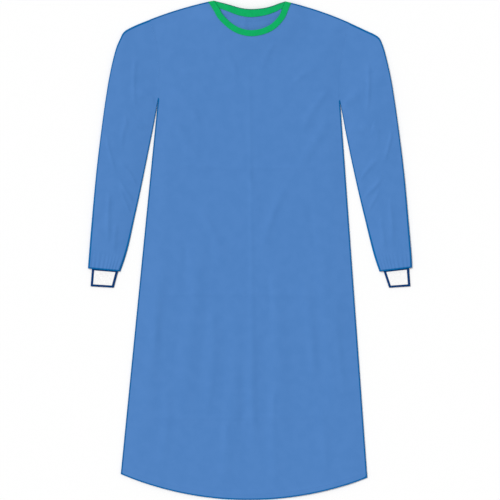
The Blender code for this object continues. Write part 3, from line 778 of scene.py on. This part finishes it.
# Sleeves. Sections in millimetres: the upper fold's point and the under seam's point
sleeves = {
    "right": [
        (-288, 560.5, -233, 358), (-314, 546, -236, 340), (-324.5, 528, -240, 318), (-337, 496, -246.5, 284),
        (-353, 425, -261, 212), (-369.5, 315, -276.5, 136), (-384, 195, -290.5, 72), (-396.5, 62, -303, 14),
        (-402.5, -12, -313, -22), (-405, -46, -324, -53.5),
    ],
    "left": [
        (287, 550, 228, 354), (317.5, 535, 231.5, 336), (328.5, 520, 235.5, 314), (339.5, 485, 242, 280),
        (354.5, 416, 257, 208), (371, 305, 273.5, 134), (385.5, 188, 289, 70), (397.5, 58, 302.5, 14),
        (403.5, -12, 312.5, -22), (405, -44, 323.5, -54),
    ],
    "loft": 3.0 * mm, "endLoft": 3.1 * mm, "gathers": 9, "gatherHeight": 0.9 * mm, "gatherReach": 0.1,
    "ripple": 0.25 * mm, "rings": 150, "acrossTop": 62, "acrossUnder": 30, "wall": 0.6 * mm,
    # a smaller number makes the dark strip wider: at the fold, where the strip is painted shade as the cloth turns
    # down to the floor, and at the seam
    "foldShadeStrip": 0.72, "seamStrip": 0.68,
}
sleeveCreases = {
    # share across from the fold, share along the sleeve: start and end, bend, half width in mm, height in mm
    "right": [
        (0.96, 0.07, 0.42, 0.22, 0.03, 9, 1.3), (0.97, 0.16, 0.52, 0.30, -0.02, 8, 1.0),
        (0.30, 0.10, 0.62, 0.24, 0.03, 10, 0.8), (0.95, 0.46, 0.40, 0.53, 0.03, 8, 1.2),
        (0.94, 0.56, 0.46, 0.57, -0.03, 7, 1.0), (0.93, 0.65, 0.50, 0.60, 0.02, 8, 0.8),
        (0.10, 0.50, 0.48, 0.57, 0.02, 8, 0.7), (0.35, 0.66, 0.55, 0.92, 0.03, 8, 0.9),
        (0.62, 0.76, 0.72, 0.95, 0.02, 7, 0.7), (0.50, 0.30, 0.44, 0.46, 0.02, 11, 0.8),
    ],
    "left": [
        (0.96, 0.08, 0.46, 0.20, 0.03, 9, 1.2), (0.96, 0.18, 0.50, 0.33, -0.02, 8, 0.9),
        (0.28, 0.12, 0.58, 0.27, 0.03, 10, 0.9), (0.95, 0.43, 0.44, 0.50, 0.03, 8, 1.1),
        (0.95, 0.53, 0.42, 0.58, -0.02, 7, 1.1), (0.92, 0.63, 0.54, 0.61, 0.02, 8, 0.7),
        (0.12, 0.47, 0.44, 0.53, 0.02, 9, 0.8), (0.40, 0.68, 0.52, 0.93, 0.03, 8, 0.8),
        (0.68, 0.72, 0.74, 0.94, 0.02, 7, 0.8), (0.52, 0.33, 0.40, 0.44, 0.02, 11, 0.7),
    ],
}


def tube(name, label, points, material, attributes, thickness):
    # rings of points closed round into a tube with a wall; the right side's rings run the other way round
    faces = grid(*points.shape[:2], wrapColumns=True)
    piece = makePiece(name, points, faces[:, ::-1] if label == "right" else faces, material, attributes)
    wall = piece.modifiers.new("wall", "SOLIDIFY")
    wall.thickness, wall.offset = thickness, -1
    return piece


def sleeveProfile(share, along):
    # the upper layer's height over its closed thickness: full by the seam, square and gathered at the wrist
    soft = (0.8 + 0.9 * share) * (1 - share**2.2)
    square = 1 - share**40
    wrist = fadeIn(along, 0.84, 0.12)
    loft = sleeves["loft"] * smooth(along / 0.25)
    phase = sleeves["gathers"] * share + 0.25 * np.sin(8.2 * share + 0.6)
    reach = sleeves["gatherReach"]
    waves = sleeves["gatherHeight"] * np.sin(np.pi * phase) ** 2 * fadeIn(along, 1 - reach, reach)
    return loft * soft * (1 - wrist) + (sleeves["endLoft"] * wrist + waves) * square


def sleeveCreaseHeight(share, along, width, length, creases):
    # the same creases, on the sleeve's own two directions
    total = np.zeros(np.broadcast(share, along).shape)
    for s0, t0, s1, t1, bend, halfWidth, height in creases:
        shape = crease((share - s0) * width, (along - t0) * length, (s1 - s0) * width, (t1 - t0) * length,
                       bend * length / 3, halfWidth * mm, creasing["sleeveEnds"])
        total += creasing["sleeve"] * height * mm * shape
    return total * (1 - share**6) * smooth(share / 0.12) * smooth(along / 0.04)


def sleevePath(label):
    side = outline[label]
    rows = np.vstack([[*shoulderLine(side)[-1], *armholeLine(side)[0]], metres(sleeves[label])])
    along = np.concatenate([np.linspace(0, 1, sleeves["rings"])[:-1], [0.9965, 1]])
    path = evenly(curveThrough(rows), along)
    return along, path[:, :2], path[:, 2:]


def sleeveSurface(label):
    # rings from the armhole to the wrist: round fold, upper layer, round seam edge, flat under layer
    side = outline[label]
    along, top, under = sleevePath(label)
    width = np.linalg.norm(under - top, axis=1)[:, None]
    length = lengthOf((top + under) / 2)
    t = along[:, None]
    closed = 2 * layers["cloth"] + layers["gap"]
    fold = (closed + sleeveProfile(0.0, t)) / 2
    edge = closed / 2
    angle = np.radians(np.linspace(-80, 90, 9))[None]
    foldRun, foldHigh = fold - fold * np.cos(angle), fold + fold * np.sin(angle)
    share = np.linspace(0, 1, sleeves["acrossTop"])[None, 1:]
    run = fold + share * (width - edge - fold)
    ripple = sleeves["ripple"] * np.sin(37 * t + 5 * share + np.sin(9 * share + 13 * t))
    high = closed + sleeveProfile(share, t)
    high = high + sleeveCreaseHeight(share, t, width, length, sleeveCreases[label])
    high = high + (1 - share**6) * smooth(share / 0.1) * smooth(t / 0.08) * ripple
    turn = np.radians(np.linspace(60, -60, 5))[None]
    seamRun = width - edge + edge * np.cos(turn)
    seamHigh = edge + edge * np.sin(turn) + 0 * width
    low = np.linspace(1, 0, sleeves["acrossUnder"])[None]
    lowRun = fold + low * (width - edge - fold)
    lowHigh = np.clip(0.4 * sleeveCreaseHeight(low, t, width, length, sleeveCreases[label]), 0, 0.5 * mm)
    runs = np.concatenate([foldRun, run, seamRun, lowRun], axis=1)
    heights = np.concatenate([foldHigh, high, seamHigh, lowHigh], axis=1)
    shares = runs / width
    plan = top[:, None] + shares[..., None] * (under - top)[:, None]
    plan[..., 0] -= side["sign"] * (1 - smooth(t / 0.3)) * armholeBow(shares)
    plan[0, :, 0] += side["sign"] * fabric["seamGap"] / 2
    # the dark strip: painted shade along the fold, and a darker seam line at the under seam and at the wrist
    edges = (sleeves["foldShadeStrip"] * runs, sleeves["seamStrip"] * (width - runs), (1 - t) * length + 0 * shares)
    return np.dstack([plan, heights]), np.min(edges, axis=0)


def sleeve(label):
    points, edges = sleeveSurface(label)
    return tube(f"sleeve_{label}_cloth", label, points, cloth, {"edgeDistance": edges}, sleeves["wall"])


# Cuffs: corners of what shows below the sleeve's end, in millimetres: outer, inner, and the same lower down
cuffs = {
    "right": ((-395, -47), (-329.5, -52.5), (-398.5, -90.7), (-340.5, -94.2)),
    "left": ((397.5, -45), (333.5, -52.5), (401, -90.7), (347.5, -94.2)),
    "tuck": 8 * mm, "toFloor": 12 * mm, "ribs": 20, "ribHeight": 0.55 * mm, "perRib": 8, "ribEnd": 2.2 * mm,
    "rows": 54, "wall": 0.8 * mm,
    # a smaller number makes the navy border wider on that side
    "sideBorder": 0.72, "topBorder": 1.25, "lowBorder": 0.82,
}


def cuff(label):
    # rings along the cuff; each is a flat oval with ribs as half waves over its upper face
    outer, inner, outerLow, innerLow = metres(cuffs[label])
    length = np.linalg.norm(outerLow - outer)
    reach = np.linspace(-cuffs["tuck"], length, cuffs["rows"])[:, None]
    t = (reach / length)[..., None]
    a = outer + t * (outerLow - outer)
    b = inner + t * (innerLow - inner)
    width = np.linalg.norm(b - a, axis=-1)
    wide = 0 * width
    thick = 2 * layers["cloth"] + layers["gap"]
    half = thick / 2
    floor = layers["step"] * (1 - smooth(reach / cuffs["toFloor"]))
    turn = np.radians(np.linspace(-80, 80, 7))[None]
    back = turn[:, ::-1]
    over = np.linspace(0, 1, cuffs["ribs"] * cuffs["perRib"] + 1)[None, 1:-1]
    under = np.linspace(1, 0, cuffs["ribs"] * 3)[None, 1:-1]
    crest = np.abs(np.sin(np.pi * cuffs["ribs"] * over)) ** 0.8
    flatter = 0.35 + 0.65 * (1 - fadeIn(reach, length - cuffs["ribEnd"], cuffs["ribEnd"]))
    runs = np.concatenate([
        half - half * np.cos(turn) + wide, half + over * (width - 2 * half),
        width - half + half * np.cos(back), half + under * (width - 2 * half)], axis=1)
    heights = np.concatenate([
        half + half * np.sin(turn) + wide, thick - 0.1 * mm + cuffs["ribHeight"] * crest * flatter + wide,
        half + half * np.sin(back) + wide, 0 * under + wide], axis=1)
    plan = a + (runs / width)[..., None] * (b - a)
    across = cuffs["sideBorder"] * np.minimum(runs, width - runs)
    endwise = np.minimum(cuffs["lowBorder"] * (length - reach), cuffs["topBorder"] * np.abs(reach))
    # the knit's painted shade follows these crests: full on the turned sides and between the ribs, slight
    # underneath
    crests = np.concatenate([0 * turn, crest, 0 * back, 0 * under + 0.6], axis=1) + wide
    return tube(f"cuff_{label}_knit", label, np.dstack([plan, floor + heights]), ribKnit,
                {"edgeDistance": np.minimum(across, endwise), "ribCrest": crests}, cuffs["wall"])


# Neck binding
bindings = {
    "front": 15 * mm, "back": 20 * mm,  # the tape's width on each leg
    "wall": 0.7 * mm, "foldReach": 0.35 * mm,  # how far the round fold reaches in
    "pucker": 0.16 * mm, "puckerPitch": 7.3 * mm, "stations": {"front": 210, "inner": 150, "outer": 130},
}


def unit(vector):
    return vector / np.linalg.norm(vector)


outward = [unit(shoulderLine(side)[2] - shoulderLine(side)[0]) for side in sides]
alongFront = unit(metres(outline["innerTapeEnd"]))


def bindingFrames(neck, stations, key, firstCut, lastCut):
    # the edge, its inward direction and the tape's width at each station
    edge = evenly(neck, np.linspace(0, 1, stations))
    widths = np.full(stations, bindings["front"])
    if key != "front":
        fromMiddle = np.abs(edge[:, 0]) / (abs(outline["right"]["neck"][0]) * mm)
        widths = bindings["back"] - (bindings["back"] - bindings["front"]) * smooth(fromMiddle)
    square = setIn(edge, 1.0, -1) - edge
    inward = square
    blend = np.linspace(0, 1, stations)[:, None]
    for cut, weight in ((firstCut, 1 - blend), (lastCut, blend)):
        if cut is not None:
            weight = fadeIn(weight, 0.8, 0.2)
            inward = (1 - weight) * inward + weight * cut
    inward /= np.linalg.norm(inward, axis=1, keepdims=True)
    if key == "inner":
        # longer across its slanted end, so that its lower edge stays parallel to the fold
        widths = widths / np.where(blend[:, 0] > 0.5, (inward * square).sum(1), 1)
    return edge, inward, widths


def bindingRun(name, neck, key, height, firstCut, lastCut):
    # a U-shaped section carried along the neck edge: upper leg, round fold and lower leg, then back inside
    edge, inward, widths = bindingFrames(neck, bindings["stations"][key], key, firstCut, lastCut)
    wall, flat = bindings["wall"], bindings["foldReach"]
    low, high = -layers["step"], 2 * layers["cloth"] + layers["gap"]
    middle, radius = (low + high) / 2, (high - low) / 2
    angle = np.radians(np.linspace(-90, 90, 11))
    shares = np.linspace(0, 1, 9)

    def section(inset, turned):
        # columns: distance in from the fold by its reach, share of the width, height off the cloth's underside
        small = (radius - inset) / radius
        fold = [(1 - small * math.cos(q), 0, middle + (radius - inset) * math.sin(q)) for q in turned]
        legs = [(1.0, s, high - inset) for s in shares[1:]], [(1.0, s, low + inset) for s in shares[1:]]
        return legs, fold

    (upper, lower), fold = section(0, angle)
    (innerUpper, innerLower), innerFold = section(wall, angle[::-1])
    ring = np.array(lower[::-1] + fold + upper + innerUpper[::-1] + innerFold + innerLower)
    depth = ring[:, 0] * flat + 0 * widths[:, None] + ring[:, 1] * (widths[:, None] - flat)
    plan = edge[:, None] + inward[:, None] * depth[..., None]
    run = lengthOf(edge) * np.linspace(0, 1, len(edge))[:, None]
    # the stitches draw the tape in by turns, so it puckers towards its loose edge
    waves = np.sin(2 * np.pi * run / bindings["puckerPitch"] + np.sin(run * 95))
    pucker = bindings["pucker"] * ring[:, 1] ** 2 * waves
    points = np.dstack([plan, height(plan) + ring[:, 2] + np.where(ring[:, 2] > middle, pucker, 0)])
    rings, count = points.shape[:2]
    faces = grid(rings, count, wrapColumns=True).tolist()
    for start, turned in ((0, False), ((rings - 1) * count, True)):
        # both ends are closed with quads between the outer and the inner line
        for j in range(count // 2 - 1):
            quad = [start + j, start + j + 1, start + count - 2 - j, start + count - 1 - j]
            faces.append(quad if turned else quad[::-1])
    # only the back tapes get the painted-shade line by their fold
    foldShadeDistance = depth if key != "front" else np.full(depth.shape, 1.0)
    piece = makePiece(name, points, faces, wovenTape, {"edgeDistance": foldShadeDistance})
    form = bmesh.new()
    form.from_mesh(piece.data)
    bmesh.ops.recalc_face_normals(form, faces=form.faces)
    form.to_mesh(piece.data)
    form.free()
    return piece


# Stitches: one small grain of thread, repeated along seams as a single mesh
stitching = {
    "seam": (2.6 * mm, 0.48 * mm, 0.34 * mm), "seamPitch": 3.4 * mm, "seamLift": 0.03 * mm,
    "overlock": (3.2 * mm, 0.62 * mm, 0.45 * mm), "overlockPitch": 2.3 * mm, "overlockLift": 0.08 * mm,
    "slant": 0.5, "fromHemEdge": 1.6 * mm, "fromArmhole": 3.2 * mm, "fromBindingEdge": 2.0 * mm,
}


def stitchRow(name, places, directions, size, material):
    # each stitch is a grain: rings that swell as a half circle along its length and rise in its middle
    stations = np.linspace(-1, 1, 6)[1:-1, None]
    angles = np.arange(6)[None] * math.pi / 3
    swell = np.sqrt(1 - stations**2)
    ring = np.stack([stations + 0 * angles, swell * np.cos(angles), swell * np.sin(angles)], axis=-1)
    template = np.concatenate([ring.reshape(-1, 3), [[-1, 0, 0], [1, 0, 0]]]) * np.array(size) / 2
    body = grid(4, 6, wrapColumns=True)
    ends = [[24, (j + 1) % 6, j] for j in range(6)] + [[25, 18 + j, 18 + (j + 1) % 6] for j in range(6)]
    along = directions / np.linalg.norm(directions, axis=1, keepdims=True)
    across = np.cross((0, 0, 1.0), along)
    across /= np.linalg.norm(across, axis=1, keepdims=True)
    axes = np.stack([along, across, np.cross(along, across)], axis=1)
    points = places[:, None] + np.einsum("kc,ncd->nkd", template, axes)
    first = np.arange(len(places))[:, None, None] * len(template)
    faces = [(first + np.array(part)[None]).reshape(-1, np.shape(part)[1]).tolist() for part in (body, ends)]
    return makePiece(name, points, faces[0] + faces[1], material, sharpAngle=80)


def seamStitches(name, path, thread):
    # evenly spaced along a path in space
    count = max(2, int(lengthOf(path) / stitching["seamPitch"]))
    shares = (np.arange(count) + 0.5) / count
    ahead = evenly(path, np.clip(shares + 0.2 / count, 0, 1)) - evenly(path, np.clip(shares - 0.2 / count, 0, 1))
    return stitchRow(name, evenly(path, shares), ahead, stitching["seam"], thread)


def onFront(plan):
    return np.column_stack([plan, frontTop(plan) + stitching["seamLift"]])


def hemStitches():
    inset = setIn(hemLine, fabric["hemWidth"] - stitching["fromHemEdge"], 1)
    return seamStitches("hem_stitches", onFront(evenly(inset, np.linspace(0.004, 0.996, 400))), blueThread)


def armholeStitches(label):
    line = armholeLine(outline[label], np.linspace(0.985, 0.015, 120))
    line[:, 0] -= outline[label]["sign"] * stitching["fromArmhole"]
    return seamStitches(f"armhole_stitches_{label}", onFront(line), blueThread)


def overlockRow(name, edgeLine, inwardSign):
    # slanted stitches that reach over a sewn edge of the front
    shares = np.linspace(0.002, 0.998, int(lengthOf(edgeLine) / stitching["overlockPitch"]))
    inset = setIn(evenly(edgeLine, np.linspace(0, 1, 600)), 0.4 * stitching["overlock"][0], inwardSign)
    middle = evenly(inset, shares)
    ahead = evenly(edgeLine, np.clip(shares + 1e-3, 0, 1)) - evenly(edgeLine, np.clip(shares - 1e-3, 0, 1))
    ahead /= np.linalg.norm(ahead, axis=1, keepdims=True)
    across = inwardSign * np.stack([-ahead[:, 1], ahead[:, 0]], axis=1) + stitching["slant"] * ahead
    places = np.column_stack([middle, frontTop(middle) + stitching["overlockLift"]])
    return stitchRow(name, places, np.column_stack([across, 0 * shares]), stitching["overlock"], edgeThread)


def bindingStitches(name, neck, key, height, firstCut, lastCut):
    edge, inward, widths = bindingFrames(neck, 400, key, firstCut, lastCut)
    line = edge + inward * (widths - stitching["fromBindingEdge"])[:, None]
    top = height(line) + 2 * layers["cloth"] + layers["gap"] + 0.02 * mm
    return seamStitches(name, evenly(np.column_stack([line, top]), np.linspace(0.01, 0.99, 400)), greenThread)


def sleeveEndStitches(label):
    # a row across the sleeve's end, where it is sewn down on the cuff
    ring = int(np.argmin(np.abs(sleevePath(label)[0] - 0.991)))
    row = sleeveSurface(label)[0][ring, 10:8 + sleeves["acrossTop"]]
    return seamStitches(f"sleeve_end_stitches_{label}", row + np.array([0, 0, 0.1 * mm]), blueThread)


# Making the pieces, hanging them on the root and hiding the solids they replace

# width and length of each flat cut of what shows, and its area, in metres
cuts = {
    "front_panel": ((0.616, 1.247), 0.628), "back_panel_right": ((0.441, 1.246), 0.446),
    "back_panel_left": ((0.398, 1.244), 0.402), "sleeve": ((0.42, 0.63), 0.141), "cuff": ((0.133, 0.054), 0.0066),
}


def declare(piece, node, slot, flat, area=None, held="laid", restsOn=(), withPieces=()):
    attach(piece, "root")
    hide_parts(node)
    for extra in withPieces:
        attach(extra, "root")


declare(frontPanel(), "front_panel", "blue_nonwoven", *cuts["front_panel"],
        restsOn=["back_panel_right", "back_panel_left"],
        withPieces=[hemStitches(), armholeStitches("right"), armholeStitches("left")])
print("front made")

declare(backRightPanel(), "back_panel_right", "blue_nonwoven", *cuts["back_panel_right"],
        restsOn=["back_panel_left"])
declare(backLeftPanel(), "back_panel_left", "blue_nonwoven", *cuts["back_panel_left"])
print("backs made")

for label in ("right", "left"):
    declare(sleeve(label), f"sleeve_{label}", "blue_nonwoven", *cuts["sleeve"],
            withPieces=[sleeveEndStitches(label)])
    declare(cuff(label), f"cuff_{label}", "white_knit", *cuts["cuff"])
print("sleeves and cuffs made")

runs = (
    ("front", frontNeckEdge, "front", frontHeight, outward[0], outward[1]),
    ("back_right", innerTapeNeck, "inner", innerBackHeight, outward[0], alongFront),
    ("back_left", outerNeck, "outer", outerBackHeight, None, outward[1]),
)
for label, neck, *shape in runs:
    piece = bindingRun(f"binding_{label}", neck, *shape)
    stitches = bindingStitches(f"binding_{label}_stitches", neck, *shape)
    leg = bindings["front"] if label == "front" else 0.5 * (bindings["front"] + bindings["back"])
    declare(piece, f"neck_binding_{label}", "green_binding", (2 * leg + 3.6 * mm, lengthOf(neck)),
            held="folded", withPieces=[stitches])
print("bindings made")

for name, line, sign in (
    ("side_overlock_right", sideLine(sides[0]), -1),
    ("side_overlock_left", sideLine(sides[1]), 1),
    ("shoulder_overlock_right", shoulderLine(sides[0]), 1),
    ("shoulder_overlock_left", shoulderLine(sides[1]), -1),
):
    row = overlockRow(name, line, sign)
    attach(row, "root")
print("edge stitches made")

for kind in ("hook", "loop"):
    bpy.data.objects[f"neck_tape_{kind}"].material_slots[0].material = fasteningMaterial(kind)


# Floor, light and camera
room = {
    "floor": (0.975, 0.975, 0.975), "floorReach": 14.0, "floorDrop": 0.6 * mm,
    "sky": 0.52, "key": 1.87, "keySpread": 24, "keyPlace": (-1.45, 1.0, 2.8),
    "lens": 200, "sensor": 36, "viewWidth": 1.25, "clipEnd": 60,  # 500 pixels take in 1.25 m
}


def studio():
    scene = bpy.context.scene
    floor = bpy.data.meshes.new("floor")
    size = room["floorReach"]
    floor.from_pydata([(-size, -size, 0), (size, -size, 0), (size, size, 0), (-size, size, 0)], [], [(0, 1, 2, 3)])
    stage = addObject("floor", floor)
    material, _, _, shader = newMaterial("pale_floor")
    shader.inputs["Base Color"].default_value = (*room["floor"], 1)
    setFinish(shader, 0.9, 0.1)
    floor.materials.append(material)
    stage.location.z = -room["floorDrop"]

    world = scene.world or bpy.data.worlds.new("world")
    scene.world = world
    world.use_nodes = True
    background = world.node_tree.nodes["Background"]
    background.inputs["Color"].default_value = (1, 1, 1, 1)
    background.inputs["Strength"].default_value = room["sky"]
    key = bpy.data.lights.new("key_light", "SUN")
    key.energy, key.angle = room["key"], math.radians(room["keySpread"])
    lamp = addObject("key_light", key)
    lamp.location = room["keyPlace"]
    lamp.rotation_euler = Vector(room["keyPlace"]).to_track_quat("Z", "Y").to_euler()

    view = bpy.data.cameras.new("camera")
    view.lens, view.sensor_width, view.clip_end = room["lens"], room["sensor"], room["clipEnd"]
    shot = addObject("camera", view)
    shot.location = (0, 0, room["viewWidth"] * view.lens / view.sensor_width)
    scene.camera = shot
    scene.view_settings.view_transform = "Standard"  # plain colours, as in the drawing


studio()
print("studio made")
